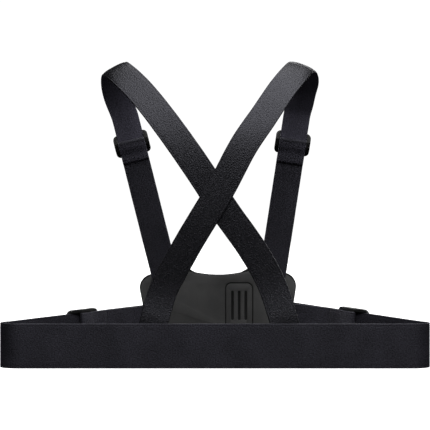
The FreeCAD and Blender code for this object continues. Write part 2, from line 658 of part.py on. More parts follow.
def make_shoulder_strap(name, rows, leg):
    """From the sewn end at the back, over the shoulder and down to the plate's ear, in one length."""
    stops = [station(*row) for row in rows] + [(leg.point(leg.high), leg.v * -1)]
    half, w = size("webbing") / 2, size("strap_width") / 2
    middles = [middle for middle, _ in stops]
    travel = [0]
    for here, there in zip(middles, middles[1:]):
        travel.append(travel[-1] + here.distanceToPoint(there))
    edges = [middle + across * w for middle, across in stops]
    first, last = (middles[1] - middles[0]).normalize(), leg.u * -1
    route, rim = Part.BSplineCurve(), Part.BSplineCurve()
    for curve, points in ((route, middles), (rim, edges)):
        curve.interpolate(Points=points, Parameters=travel, InitialTangent=first, FinalTangent=last)
    sections = []
    count = round(travel[-1] / STRAP_STEP)
    for i in range(count + 1):
        way = travel[-1] * i / count
        along = route.tangent(way)[0]
        face = along.cross(rim.value(way) - route.value(way)).normalize()
        across = face.cross(along).normalize()
        corners = [route.value(way) + across * (a * w) + face * (b * half) for a, b in CORNERS]
        sections.append(Part.makePolygon(corners + corners[:1]))
    over = doc.addObject("Part::Feature", name + "_over")
    over.Shape = Part.makeLoft(sections, True, True)
    print(f"{name}: {over.Shape.Volume:.0f} mm3 over the shoulder, {travel[-1] * 4 * half * w:.0f} expected")
    return joined(name, [over, shoulder_run(leg, name)])


def make_belt(legs):
    """The back band, a bend at each end, and a sloping run to each side of the plate, in one length."""
    half, radius, back = size("webbing") / 2, size("bend_radius"), V(0, -1, 0)
    left, right = legs
    edges = []
    for reach in (radius - half, radius + half):
        for leg in legs:
            halfway = (leg.outward + back).normalize()
            bends = [leg.bend + way * reach for way in (back, halfway, leg.outward)]
            edges.append(Part.Arc(*bends))
        edges.append(Part.LineSegment(left.bend + back * reach, right.bend + back * reach))
    for leg in legs:
        inner, outer = (leg.bend + leg.outward * reach for reach in (radius - half, radius + half))
        edges.append(Part.LineSegment(inner, outer))
    parts = [extrusion("belt_band", sketch("belt_profile", [edges]), V(0, 0, 1), "belt_width")]
    wide = size("belt_width")
    for leg, word in zip(legs, ("left", "right")):
        rise = size(leg.rise)
        slope = [(0, 0, 0), (leg.run, -rise, 0), (leg.run, wide - rise, 0), (0, wide, 0)]
        turned = FreeCAD.Rotation(leg.flat, V(0, 0, 1), V(), "XYZ")
        profile = sketch(f"belt_{word}_slope", [rounded(slope)], turned)
        profile.Placement.Base = leg.bar + leg.outward * leg.loop + V(0, 0, rise)
        parts.append(extrusion(f"belt_{word}_run", profile, leg.outward, "webbing", both_ways=True))
        turn = half_turn(leg.bar, leg.outward, leg.flat * -1, leg.loop)
        turn.append(Part.LineSegment(turn[0].StartPoint, turn[1].StartPoint))
        ring = extrusion(f"belt_{word}_turn", sketch(f"belt_{word}_ring", [turn]), V(0, 0, 1), "belt_width")
        parts.append(place(ring, z=leg.rise))
    return joined("waist_belt", parts)


def make_webbing():
    nodes = []
    left, right = shoulder_leg(LEFT_LEG), shoulder_leg(RIGHT_LEG)
    nodes.append(make_shoulder_strap("left_shoulder_strap", LEFT_STRAP, left))
    nodes.append(make_shoulder_strap("right_shoulder_strap", RIGHT_STRAP, right))
    belt = [belt_leg(-1, "left_rise"), belt_leg(1, "right_rise")]
    nodes.append(make_belt(belt))
    runs = [
        ("left_shoulder", "strap", left, LEFT_LEG["tail"]),
        ("right_shoulder", "strap", right, RIGHT_LEG["tail"]),
        ("left_belt", "belt", belt[0], BELT_TAIL),
        ("right_belt", "belt", belt[1], BELT_TAIL),
    ]
    for name, kind, leg, tail in runs:
        nodes.append(make_slider(leg, f"{name}_slider", kind))
        nodes.append(make_fold(leg, f"{name}_fold", kind, tail))
        nodes.append(make_return(leg, f"{name}_return", kind, tail))
        origin, along, facing = ([round(c, 5) for c in v] for v in (leg.origin, leg.u, leg.n))
        print(name.replace("_", " "), "origin", origin, "u", along, "n", facing, "low", round(leg.low, 2),
              "high", round(leg.high, 2))
    return nodes


def write(nodes):
    """Checks every object, then writes each node's shape under its label."""
    doc.recompute()
    broken = [o.Name for o in doc.Objects if "Invalid" in o.State or "Error" in o.State]
    if broken:
        raise RuntimeError(f"failed objects: {broken}")
    for node in nodes:
        if node.Shape.isNull() or not node.Shape.isValid() or not node.Shape.Solids:
            raise RuntimeError(f"{node.Label} has no valid solid")
    os.makedirs("parts", exist_ok=True)
    for old in os.listdir("parts"):
        os.remove(os.path.join("parts", old))
    for node in nodes:
        node.Shape.exportStep(f"parts/{node.Label}.step")
        print(f"{node.Label}: {len(node.Shape.Solids)} solid(s), {node.Shape.Volume / 1000:.2f} cm3")


def main():
    shank, knob, nut = make_thumb_screw()
    shank.Label = "thumb_screw"
    nodes = [make_plate(), make_pad(), make_socket(), make_screws(), make_buckle(), make_arm()]
    write(nodes + [shank, knob, nut] + make_webbing())


main()
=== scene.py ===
"""Looks for the chest harness: woven elastic webbing, moulded pad and plate, sliders, and the camera mount.

Sizes are in metres. MM turns the harness's own millimetre sizes, the same as the CAD model's, into metres.
"""

import json
import math

import bmesh
import bpy
import numpy as np
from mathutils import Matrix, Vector


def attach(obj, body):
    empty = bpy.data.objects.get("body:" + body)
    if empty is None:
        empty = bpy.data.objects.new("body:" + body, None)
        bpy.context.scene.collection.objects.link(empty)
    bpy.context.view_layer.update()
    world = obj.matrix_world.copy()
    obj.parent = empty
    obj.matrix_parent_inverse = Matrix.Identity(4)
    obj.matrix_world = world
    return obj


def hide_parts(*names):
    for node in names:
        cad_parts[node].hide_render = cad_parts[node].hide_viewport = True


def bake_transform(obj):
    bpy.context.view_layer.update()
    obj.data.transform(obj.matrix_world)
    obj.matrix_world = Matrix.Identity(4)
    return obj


MM = 0.001

# The harness's sizes in mm, the same as the CAD model's. The webbing's thickness and widths, and the belt's outline:
WEBBING = 1.5
STRAP_WIDTH = 25
BELT_WIDTH = 39.2
BELT_SPAN = 381.6
BEND_RADIUS = 17
BACK_Y = -88.25
# How far each end of the belt climbs from the back to the plate.
BELT_RISE = {"left": 8.6, "right": 11.2}
# The chest plate's middle, and the face of its pad towards the wearer.
PLATE_X = 3
PLATE_MID_Y = BACK_Y + 120.5
PAD_FACE_Y = BACK_Y + 118
# The panel moulded in the pad: x from the plate's middle, z, and half its width and height with a little to spare.
PANEL = (20, 48.2, 14, 22.5)
# The least and greatest depth under the pad's face that counts as in the panel's grooves.
PANEL_DEPTH = (0.3, 1.5)
# The plate's upright bar that the belt turns round: x from the plate's middle, and half its width and depth.
SIDE_BAR = (70.4, 2.6, 2.5)
# The gap between that bar's corners and the belt.
BELT_SLACK = 0.6
# The bar in the plate's ear that a shoulder strap turns round: x from the plate's middle, and z.
EAR = (50.4, 72.2)
# How much further to +X both of these bars are.
EAR_SHIFT = 0.7
# The radius of the turn round it, to the strap's middle.
EAR_LOOP = 3.55
# Along each straight run: the slider's distance from the plate's bar, the z of the top, and the sewn tail's length.
SLIDER_UP = {"left_shoulder": 134.3, "right_shoulder": 132.4, "left_belt": 66.8, "right_belt": 66.8}
LEG_TOP = {"left": 224, "right": 227.2}
TAIL = {"left_shoulder": 16.8, "right_shoulder": 19, "left_belt": 24, "right_belt": 24}
# Half the width of a slider's middle bar.
POST_HALF = {"shoulder": 2.4, "belt": 3.4}
# The gaps between a strap and its return run, and between the return run and the sewn tail that lies on it.
LAYER_GAP = 0.3
FOLD_GAP = 0.02
# How far the tail rises in its turn round the middle bar.
FOLD_RISE = 3.7

# For the looks only, in mm. The webbing is a little fuller than its nominal width.
FULLER = 0.4
# At the top of the shoulder the strap's edges droop by this much, over about this length each way.
CREST_DROOP = 1.8
CREST_REACH = 24
# The value of the "cloth" attribute's third number on the side towards the wearer. It is 0 on the other side.
# The webbing materials scale the marked side's tone by a factor: painted light or painted shade on that side.
INSIDE_MARK = 40
# The stitches' thickness.
THREAD = 0.36
# Edges that turn by more than these angles, in degrees, are rounded, and shaded as edges.
ROUNDED_ANGLE = 32
SHARP_ANGLE = 40

# The camera's place behind the wearer's back and its height, in metres, and its lens in mm.
CAMERA_BACK = 1.3
CAMERA_HEIGHT = 0.1346
CAMERA_LENS = 124.2

MAIN_WEBBING = ("waist_webbing", "left_shoulder_webbing", "right_shoulder_webbing")

# The middle of each shoulder strap from its sewn end to the top of its straight run: x, y from the back belt, z, the
# lean of its width from level and the turn of its width away from the wearer's back, in degrees.
STATIONS = {
    "left": [
        (67, 2.7, 15.2, 15, 0),
        (60.6, 3.3, 41.2, 16, 0),
        (56.8, 5.5, 54.1, 18, 0),
        (52.2, 7.8, 68, 20, 0),
        (42.7, 9.4, 88, 27, 0),
        (27.1, 10.1, 113.1, 33, 0),
        (9.8, 10.5, 137.2, 34, 0),
        (-6.6, 11.2, 162.7, 34, 0),
        (-24.9, 13.2, 190, 34, 3),
        (-47.1, 18.6, 220.8, 38, 11),
        (-73.5, 31, 252.4, 41, 15),
        (-89.5, 46, 267.4, 37, 16),
        (-93.2, 62, 269.3, 26.5, 13),
        (-94.3, 80, 260.8, 21, 8),
        (-92.2, 93, 247.2, 17, 3),
        (-89.1, 98.6, 238.2, 15, 1),
    ],
    "right": [
        (-60, 2.6, 15.2, -14, 0),
        (-53.2, 3.2, 42.2, -15, 0),
        (-50, 5.2, 54.1, -18, 0),
        (-46.4, 6.7, 66, -21, 0),
        (-36.6, 7.5, 86, -27, 0),
        (-22.1, 7.4, 112.1, -30, 0),
        (-6.3, 7.7, 138.2, -31, 0),
        (8.3, 8.7, 163.4, -31, 0),
        (26.6, 12.2, 197.9, -32, -2),
        (42.9, 19.2, 221.9, -34, -10),
        (60.6, 31, 248.3, -36, -16),
        (72.9, 43, 264, -36, -20),
        (81.4, 61, 271.9, -23, -26),
        (84.7, 76, 262.6, -17, -15),
        (82.4, 88, 251.2, -12, -7),
        (79.8, 97, 238.7, -9, -2),
    ],
}

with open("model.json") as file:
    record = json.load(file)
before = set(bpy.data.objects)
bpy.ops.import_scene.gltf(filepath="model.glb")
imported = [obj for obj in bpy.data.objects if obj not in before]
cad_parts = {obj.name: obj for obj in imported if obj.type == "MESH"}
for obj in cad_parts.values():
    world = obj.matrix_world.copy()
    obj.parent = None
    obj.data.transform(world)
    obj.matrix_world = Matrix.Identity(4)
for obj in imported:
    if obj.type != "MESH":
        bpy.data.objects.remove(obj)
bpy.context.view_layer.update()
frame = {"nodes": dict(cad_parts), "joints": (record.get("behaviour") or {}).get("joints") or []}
scene = bpy.context.scene


# ---- camera, floor and light ----


def make_camera():
    """Level, behind the wearer's back and looking forwards."""
    data = bpy.data.cameras.new("camera")
    camera = bpy.data.objects.new("camera", data)
    scene.collection.objects.link(camera)
    camera.location = (0, BACK_Y * MM - CAMERA_BACK, CAMERA_HEIGHT)
    camera.rotation_euler = (math.radians(90), 0, 0)
    data.sensor_width = 36
    data.lens = CAMERA_LENS
    data.clip_end = 50
    scene.camera = camera


def soft_light(name, place, aim, size, power):
    """A rectangular area light, with its size in metres and its power in watts."""
    data = bpy.data.lights.new(name, "AREA")
    data.shape = "RECTANGLE"
    data.size, data.size_y = size
    data.energy = power
    light = bpy.data.objects.new(name, data)
    scene.collection.objects.link(light)
    light.location = place
    light.rotation_euler = (Vector(aim) - Vector(place)).to_track_quat("-Z", "Y").to_euler()
    return light


def only_lights(light, name, members):
    """The light falls on these objects and on nothing else."""
    group = bpy.data.collections.new(name)
    for member in members:
        group.objects.link(member)
    light.light_linking.receiver_collection = group


def plain_material(name, colour, roughness=0.9, glow=0.0):
    paint = bpy.data.materials.new(name)
    paint.use_nodes = True
    shader = paint.node_tree.nodes["Principled BSDF"]
    shader.inputs["Base Color"].default_value = (*colour, 1)
    shader.inputs["Roughness"].default_value = roughness
    shader.inputs["Emission Color"].default_value = (1, 1, 1, 1)
    shader.inputs["Emission Strength"].default_value = glow
    return paint


def unlit_backdrop(thing):
    """Seen by the camera, but its own light doesn't reach the harness."""
    thing.visible_diffuse = False
    thing.visible_glossy = False
    thing.visible_transmission = False
    thing.visible_shadow = False


def make_stage(lit):
    """A wide pale floor in a white room, and soft lights over the back, on top, at the sides, in front and below.

    The two side lights miss the belt and the shoulder straps."""
    bpy.ops.mesh.primitive_plane_add(size=12)
    floor = bpy.context.object
    floor.name = "floor"
    floor.data.materials.append(plain_material("floor", (0.86, 0.86, 0.86), glow=0.95))
    unlit_backdrop(floor)
    bpy.ops.mesh.primitive_uv_sphere_add(radius=7, segments=48, ring_count=24)
    room = bpy.context.object
    room.name = "room"
    room.data.materials.append(plain_material("room", (0, 0, 0), glow=1.05))
    unlit_backdrop(room)
    world = bpy.data.worlds.new("dim")
    scene.world = world
    world.use_nodes = True
    world.node_tree.nodes["Background"].inputs["Color"].default_value = (1, 1, 1, 1)
    world.node_tree.nodes["Background"].inputs["Strength"].default_value = 0.02
    wash = soft_light("floor_wash", (0, 0, 4), (0, 0, 0), (6, 6), 330)
    only_lights(wash, "floor_only", [floor])
    over = soft_light("back_softbox", (0.25, -1.05, 1.45), (0, 0, 0.15), (1.6, 1.5), 24)
    top = soft_light("top_softbox", (0.1, 0.15, 1.9), (0, 0, 0.15), (1.5, 1.3), 17)
    bounce = soft_light("floor_bounce", (0, -0.8, 0.004), (0, -0.8, 1), (2.0, 1.0), 0.4)
    left = soft_light("left_softbox", (-1.5, 0.3, 0.8), (0, 0, 0.15), (0.8, 1.2), 14)
    right = soft_light("right_softbox", (1.5, 0.3, 0.8), (0, 0, 0.15), (0.8, 1.2), 14)
    front = soft_light("front_softbox", (0.3, 1.3, 0.55), (0, 0, 0.1), (1.0, 1.0), 7)
    for light in (over, top, bounce, front):
        only_lights(light, light.name + "_objects", lit)
    beside_webbing = [thing for thing in lit if thing.name not in MAIN_WEBBING]
    for light in (left, right):
        only_lights(light, light.name + "_objects", beside_webbing)


# ---- materials ----


def material(name, colour, roughness, metallic=0.0, specular=0.5, sheen=0.0):
    """A new material with its shader's plain numbers set."""
    paint = bpy.data.materials.new(name)
    paint.use_nodes = True
    shader = paint.node_tree.nodes["Principled BSDF"]
    shader.inputs["Base Color"].default_value = (*colour, 1)
    shader.inputs["Roughness"].default_value = roughness
    shader.inputs["Metallic"].default_value = metallic
    shader.inputs["Specular IOR Level"].default_value = specular
    shader.inputs["Sheen Weight"].default_value = sheen
    shader.inputs["Sheen Roughness"].default_value = 0.4
    return paint, shader


class Nodes:
    """Short calls for a material's nodes."""

    def __init__(self, paint):
        self.tree = paint.node_tree

    def add(self, kind, **settings):
        node = self.tree.nodes.new(kind)
        for name, value in settings.items():
            setattr(node, name, value)
        return node

    def link(self, start, end):
        self.tree.links.new(start, end)

    def math(self, operation, first, second=None):
        node = self.add("ShaderNodeMath", operation=operation)
        for socket, value in zip(node.inputs, (first, second)):
            if isinstance(value, (int, float)):
                socket.default_value = value
            elif value is not None:
                self.link(value, socket)
        return node.outputs[0]

    def noise(self, vector, scale, detail=2.0, roughness=0.5):
        node = self.add("ShaderNodeTexNoise")
        node.inputs["Scale"].default_value = scale
        node.inputs["Detail"].default_value = detail
        node.inputs["Roughness"].default_value = roughness
        self.link(vector, node.inputs["Vector"])
        return node.outputs[0]

    def ramp(self, value, stops):
        """Colour along a value: stops are (position, colour)."""
        node = self.add("ShaderNodeValToRGB")
        band = node.color_ramp
        while len(band.elements) < len(stops):
            band.elements.new(1)
        for element, (position, colour) in zip(band.elements, stops):
            element.position = position
            element.color = (*colour, 1)
        self.link(value, node.inputs[0])
        return node.outputs[0]

    def bump(self, height, strength, distance, under=None):
        node = self.add("ShaderNodeBump")
        node.inputs["Strength"].default_value = strength
        node.inputs["Distance"].default_value = distance
        self.link(height, node.inputs["Height"])
        if under is not None:
            self.link(under, node.inputs["Normal"])
        return node.outputs[0]


def grey(level, tint=(1, 0.96, 1.28)):
    return tuple(level * t for t in tint)


def webbing_material(name, level, pitch, gloss, inside=1.0, contrast=1.0):
    """Woven elastic: ribs across the webbing, warp lines along it, and knots at random that catch the light.

    pitch is the ribs' distance in mm. The side marked INSIDE_MARK has its tone multiplied by the factor inside:
    painted light where the factor is above 1, painted shade where it is below."""
    paint, shader = material(name, grey(level), gloss, specular=0.5, sheen=0.02)
    shader.inputs["Specular Tint"].default_value = (0.88, 0.88, 1, 1)
    n = Nodes(paint)
    cloth = n.add("ShaderNodeAttribute", attribute_name="cloth").outputs["Vector"]
    split = n.add("ShaderNodeSeparateXYZ")
    n.link(cloth, split.inputs[0])
    along = n.math("MULTIPLY", split.outputs[0], math.tau / pitch)
    across = n.math("MULTIPLY", split.outputs[1], math.pi / (0.75 * pitch))
    warp = n.math("SINE", across)
    shifted = n.math("ADD", along, n.math("MULTIPLY", n.math("SIGN", warp), math.pi / 2))
    weave = n.math("MULTIPLY", n.math("ADD", n.math("SINE", shifted), 1), 0.5)
    crown = n.math("MULTIPLY", weave, n.math("ABSOLUTE", warp))
    knots = n.noise(cloth, 0.85, 2, 0.6)
    fuzz = n.noise(cloth, 4.5, 2)
    patches = n.noise(cloth, 0.045, 2)
    tone = n.math("ADD", n.math("MULTIPLY", knots, 0.62), n.math("MULTIPLY", crown, 0.2))
    tone = n.math("ADD", tone, n.math("MULTIPLY", patches, 0.2))
    low = grey(level * (1 - 0.58 * contrast))
    high = grey(level * (1 + 0.95 * contrast))
    # Painted light and shade: the marked side's tone is multiplied by the factor inside.
    side_painted_light = n.math("ADD", n.math("MULTIPLY", split.outputs[2], (inside - 1) / INSIDE_MARK), 1)
    paler = n.add("ShaderNodeVectorMath", operation="SCALE")
    n.link(n.ramp(tone, [(0.33, low), (0.72, high)]), paler.inputs[0])
    n.link(side_painted_light, paler.inputs["Scale"])
    n.link(paler.outputs[0], shader.inputs["Base Color"])
    fine = n.math("ADD", n.math("MULTIPLY", crown, 0.5), n.math("MULTIPLY", fuzz, 0.5))
    relief = n.bump(fine, 1.0, 0.00006)
    n.link(n.bump(knots, 1.0, 0.00045, relief), shader.inputs["Normal"])
    rough = n.math("SUBTRACT", gloss + 0.5, n.math("MULTIPLY", knots, 1.0))
    n.link(rough, shader.inputs["Roughness"])
    return paint


def moulded_material(name, level, roughness, grain, tint=(1, 1, 1), specular=0.4):
    """Moulded plastic or rubber: a fine spark-eroded grain, grain mm across, slow tone changes and uneven gloss.

    It is darker where the mesh's "groove" attribute is above 0: painted shade in the pad's grooves."""
    paint, shader = material(name, grey(level, tint), roughness, specular=specular)
    n = Nodes(paint)
    place = n.add("ShaderNodeTexCoord").outputs["Object"]
    fine = n.noise(place, 1 / (grain * MM), 3, 0.6)
    slow = n.noise(place, 35, 3)
    tone = n.math("ADD", n.math("MULTIPLY", fine, 0.35), n.math("MULTIPLY", slow, 0.65))
    groove = n.add("ShaderNodeAttribute", attribute_name="groove").outputs["Fac"]
    # Painted shade: the grooves' floors and walls are drawn nearly black.
    tone = n.math("SUBTRACT", tone, groove)
    dark, low, high = (grey(level * part, tint) for part in (0.12, 0.78, 1.22))
    n.link(n.ramp(tone, [(0, dark), (0.35, low), (0.65, high)]), shader.inputs["Base Color"])
    gloss = n.math("ADD", n.math("MULTIPLY", slow, 0.16), roughness - 0.08)
    n.link(gloss, shader.inputs["Roughness"])
    n.link(n.bump(fine, 0.35, 0.00009), shader.inputs["Normal"])
    return paint


def steel_material():
    """Turned steel, with fine rings of scratches across X."""
    paint, shader = material("steel", (0.52, 0.52, 0.54), 0.32, metallic=1.0)
    n = Nodes(paint)
    place = n.add("ShaderNodeTexCoord").outputs["Object"]
    stretch = n.add("ShaderNodeMapping")
    stretch.inputs["Scale"].default_value = (9000, 300, 300)
    n.link(place, stretch.inputs["Vector"])
    scratch = n.noise(stretch.outputs[0], 1, 2)
    tone = n.ramp(scratch, [(0.3, (0.42, 0.42, 0.44)), (0.7, (0.6, 0.6, 0.62))])
    n.link(tone, shader.inputs["Base Color"])
    n.link(n.math("ADD", n.math("MULTIPLY", scratch, 0.2), 0.22), shader.inputs["Roughness"])
    n.link(n.bump(scratch, 0.2, 0.00003), shader.inputs["Normal"])
    return paint


def thread_material():
    """Twisted polyester thread."""
    paint, shader = material("thread", grey(0.02), 0.55, specular=0.4, sheen=0.1)
    n = Nodes(paint)
    place = n.add("ShaderNodeTexCoord").outputs["Object"]
    twist = n.noise(place, 5000, 1)
    n.link(n.ramp(twist, [(0.35, grey(0.012)), (0.65, grey(0.04))]), shader.inputs["Base Color"])
    n.link(n.bump(twist, 0.4, 0.00005), shader.inputs["Normal"])
    return paint


PAINTS = {
    # Painted light: the shoulder strap's side towards the wearer is 32 times lighter, standing in for light bounced
    # up from the floor.
    "strap": webbing_material("strap_webbing", 0.003, 1.0, 0.34, 32),
    # Painted light: the return runs and sewn tails are a lighter copy of the shoulder strap's webbing, standing in
    # for floor bounce; their marked side and the turn over the slider's bar are 0.42 as light, as painted shade.
    "strap_tail": webbing_material("strap_tail_webbing_painted_light", 0.052, 1.0, 0.7, 0.42),
    "belt": webbing_material("belt_webbing", 0.0225, 1.1, 0.6, 1.0, 1.65),
    "plate": moulded_material("plate", 0.003, 0.6, 0.35),
    "pad": moulded_material("pad", 0.085, 0.6, 0.3),
    "mount": moulded_material("mount_plastic", 0.011, 0.5, 0.4),
    "slider": moulded_material("slider", 0.004, 0.55, 0.5, (1, 1, 1.05), 0.3),
    "knob": moulded_material("knob", 0.011, 0.5, 0.4),
    "steel": steel_material(),
    "thread": thread_material(),
}


# ---- meshes ----


def new_piece(name, points, faces, paint):
    mesh = bpy.data.meshes.new(name)
    mesh.from_pydata([tuple(p) for p in points], [], faces)
    mesh.materials.append(paint)
    mesh.shade_smooth()
    piece = bpy.data.objects.new(name, mesh)
    scene.collection.objects.link(piece)
    return piece


def curve_through(values, travel, wanted, first=None, last=None):
    """A natural cubic spline through rows of values, or one clamped to slopes at its ends."""
    values, travel = np.array(values, float), np.array(travel, float)
    count, gap = len(values), np.diff(travel)
    slope = np.diff(values, axis=0) / gap[:, None]
    matrix, right = np.zeros((count, count)), np.zeros_like(values)
    for i in range(1, count - 1):
        matrix[i, i - 1:i + 2] = gap[i - 1], 2 * (gap[i - 1] + gap[i]), gap[i]
        right[i] = 6 * (slope[i] - slope[i - 1])
    matrix[0, 0] = matrix[-1, -1] = 1
    if first is not None:
        matrix[0, :2] = 2 * gap[0], gap[0]
        right[0] = 6 * (slope[0] - np.array(first))
    if last is not None:
        matrix[-1, -2:] = gap[-1], 2 * gap[-1]
        right[-1] = 6 * (np.array(last) - slope[-1])
    bend = np.linalg.solve(matrix, right)
    found = []
    for at in wanted:
        i = int(np.clip(np.searchsorted(travel, at) - 1, 0, count - 2))
        a, b, g = at - travel[i], travel[i + 1] - at, gap[i]
        cubic = (bend[i] * b ** 3 + bend[i + 1] * a ** 3) / (6 * g)
        line = (values[i] / g - bend[i] * g / 6) * b + (values[i + 1] / g - bend[i + 1] * g / 6) * a
        found.append(cubic + line)
    return np.array(found)


def unit(v):
    return v / np.linalg.norm(v)


class Route:
    """The middle line of a length of webbing in mm, and the direction of its width at each point.

    Where it goes over the wearer's shoulder, crest mm along it, its edges droop. Where it is marked for painted
    shade, both of its sides have the tone of the side towards the wearer: painted shade where a tail turns over a
    slider's middle bar, in the slider's shadow."""

    def __init__(self, crest=None):
        self.middles, self.acrosses, self.in_painted_shade = [], [], []
        self.crest = crest

    def add(self, middle, across, in_painted_shade=False):
        self.middles.append(np.array(middle, float))
        self.acrosses.append(unit(np.array(across, float)))
        self.in_painted_shade.append(in_painted_shade)

    def extend(self, middles, across):
        for middle in middles:
            self.add(middle, across)


def even_steps(start, end, step):
    count = max(1, round(abs(end - start) / step))
    return [start + (end - start) * i / count for i in range(count + 1)]


def section(width):
    """The webbing's outline: two faces with a shallow groove inside each selvedge, and round edges."""
    half, edge = WEBBING / 2, width / 2 - WEBBING / 2
    selvedge = [edge, edge - 0.5, edge - 1.2, edge - 1.9, edge - 3.2]
    across = selvedge + even_steps(edge - 5, -(edge - 5), 3) + [-a for a in reversed(selvedge)]
    sink = {edge - 1.2: 0.16, edge - 0.5: 0.05}
    face = [(a, half - sink.get(abs(a), 0) * half) for a in across]
    rounds = [(edge + half * math.sin(t), half * math.cos(t)) for t in np.radians([30, 60, 90, 120, 150])]
    return face + [(-a, b) for a, b in rounds] + [(-a, -b) for a, b in face] + [(a, -b) for a, b in rounds]


def webbing(name, route, width, paint, seed):
    """A closed strip of webbing along a route, with slightly uneven selvedges and thinner ends.

    Its "cloth" attribute holds how far along and across it each point is, and the mark of its side, from which the
    materials paint light or shade."""
    middles, acrosses = np.array(route.middles), np.array(route.acrosses)
    along = np.gradient(middles, axis=0)
    along /= np.linalg.norm(along, axis=1)[:, None]
    faces_out = np.cross(along, acrosses)
    faces_out /= np.linalg.norm(faces_out, axis=1)[:, None]
    acrosses = np.cross(faces_out, along)
    travel = np.concatenate([[0], np.cumsum(np.linalg.norm(np.diff(middles, axis=0), axis=1))])
    outline = section(width + FULLER)
    points, cloth = [], []
    for i, at in enumerate(travel):
        nearest_end = min(at, travel[-1] - at)
        thin = min(1, 0.55 + nearest_end / 1.2)
        sag = 0.0
        if route.crest is not None:
            sag = CREST_DROOP * math.exp(-((at - route.crest) / CREST_REACH) ** 2)
        wave = 0.05 * math.sin(at / 7.3 + seed) + 0.04 * math.sin(at / 3.1 + 2 * seed)
        for a, b in outline:
            edge_wave = 1 + (wave / width if abs(a) > width / 2 - 2 else 0)
            lift = b * thin + sag * abs(2 * a / width) ** 3
            points.append((middles[i] + acrosses[i] * (a * edge_wave) + faces_out[i] * lift) * MM)
            # The third number marks the side towards the wearer and the painted-shade bend; the materials paint
            # light or shade from it.
            cloth.append((at + 1000 * seed, a, INSIDE_MARK if b > 0 or route.in_painted_shade[i] else 0))
    ring = len(outline)
    faces = []
    for i in range(len(travel) - 1):
        for k in range(ring):
            low, high = i * ring + k, i * ring + (k + 1) % ring
            faces.append((low, high, high + ring, low + ring))
    faces.append(tuple(range(ring - 1, -1, -1)))
    faces.append(tuple(range(len(points) - ring, len(points))))
    piece = new_piece(name, points, faces, paint)
    marks = piece.data.attributes.new("cloth", "FLOAT_VECTOR", "POINT")
    marks.data.foreach_set("vector", np.array(cloth, np.float32).ravel())
    tidy_normals(piece)
    return piece


def tidy_normals(piece):
    """All of the piece's faces look outwards."""
    work = bmesh.new()
    work.from_mesh(piece.data)
    bmesh.ops.recalc_face_normals(work, faces=work.faces)
    work.to_mesh(piece.data)
    work.free()


def softened(node, round_by, paint, body):
    """A CAD piece with its sharp edges rounded by round_by mm, in its own finish. It takes the CAD piece's place."""
    source = frame["nodes"][node]
    mesh = source.data.copy()
    mesh.materials.clear()
    mesh.materials.append(paint)
    work = bmesh.new()
    work.from_mesh(mesh)
    bmesh.ops.remove_doubles(work, verts=work.verts, dist=2e-6)
    bmesh.ops.dissolve_limit(work, angle_limit=math.radians(2), verts=work.verts, edges=work.edges)
    work.to_mesh(mesh)
    work.free()
    piece = bpy.data.objects.new(node + "_moulded", mesh)
    scene.collection.objects.link(piece)
    bevel = piece.modifiers.new("round", "BEVEL")
    bevel.width = round_by * MM
    bevel.segments = 3
    bevel.limit_method = "ANGLE"
    bevel.angle_limit = math.radians(ROUNDED_ANGLE)
    apply_modifiers(piece)
    mesh = piece.data
    mesh.shade_smooth()
    mesh.set_sharp_from_angle(angle=math.radians(SHARP_ANGLE))
    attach(piece, body)
    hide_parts(node)
    return piece


def apply_modifiers(piece):
    """The piece's mesh takes the shape that its modifiers give it."""
    depsgraph = bpy.context.evaluated_depsgraph_get()
    mesh = bpy.data.meshes.new_from_object(piece.evaluated_get(depsgraph))
    piece.modifiers.clear()
    piece.data = mesh


# ---- webbing ----


class Leg:
    """A straight run from the plate: u along it away from the plate, v across it, n towards the wearer, in mm.

    Its origin is at the slider's middle bar, and low is the u of its start at the plate. loop is the radius at which
    it turns round the plate's bar, which is at the point bar for the belt."""

    bar = None

    def __init__(self, u, v, loop, low):
        self.origin, self.u, self.v = np.zeros(3), u, v
        self.n = np.cross(u, v)
        self.loop, self.low = loop, low

    def point(self, u, v=0, n=0):
        return self.origin + self.u * u + self.v * v + self.n * n


def joint_axis(name):
    found = next(j for j in frame["joints"] if j["name"] == name)
    return unit(np.array(found["axis"], float))


def shoulder_leg(word):
    """The strap's run from the plate's ear up to LEG_TOP."""
    side = -1 if word == "left" else 1
    u = joint_axis(word + "_shoulder_adjust")
    v = unit(np.array([-u[2], 0, u[0]]))
    leg = Leg(u, v, EAR_LOOP, -SLIDER_UP[word + "_shoulder"])
    ear = np.array([PLATE_X + side * EAR[0] + EAR_SHIFT, PLATE_MID_Y, EAR[1]])
    leg.origin = ear - leg.n * leg.loop - u * leg.low
    leg.high = (LEG_TOP[word] - leg.origin[2]) / u[2]
    return leg


def belt_leg(word):
    """The belt's run from the plate's side bar back to its bend, tangent to the turns round both."""
    side = -1 if word == "left" else 1
    half = WEBBING / 2
    bar_x, bar_wide, bar_deep = SIDE_BAR
    loop = math.hypot(bar_wide, bar_deep) + BELT_SLACK + half
    bend = np.array([side * (BELT_SPAN / 2 - half - BEND_RADIUS), BACK_Y + half + BEND_RADIUS, 0])
    bar = np.array([PLATE_X + side * bar_x, PLATE_MID_Y, 0])
    gap = bend - bar
    length = np.linalg.norm(gap)
    heading = math.atan2(gap[1], gap[0]) + side * math.acos((loop - BEND_RADIUS) / length)
    outward = np.array([math.cos(heading), math.sin(heading), 0])
    run = length * math.sqrt(1 - ((loop - BEND_RADIUS) / length) ** 2)
    flat = np.array([side * outward[1], -side * outward[0], 0])
    u = unit(flat * run - np.array([0, 0, BELT_RISE[word]]))
    leg = Leg(u, np.cross(u, outward), loop, -SLIDER_UP[word + "_belt"])
    leg.start = bar + outward * loop + np.array([0, 0, BELT_RISE[word] + BELT_WIDTH / 2])
    leg.origin = leg.start - u * leg.low
    leg.bend, leg.bar, leg.outward, leg.flat, leg.run = bend, bar, outward, flat, run
    return leg


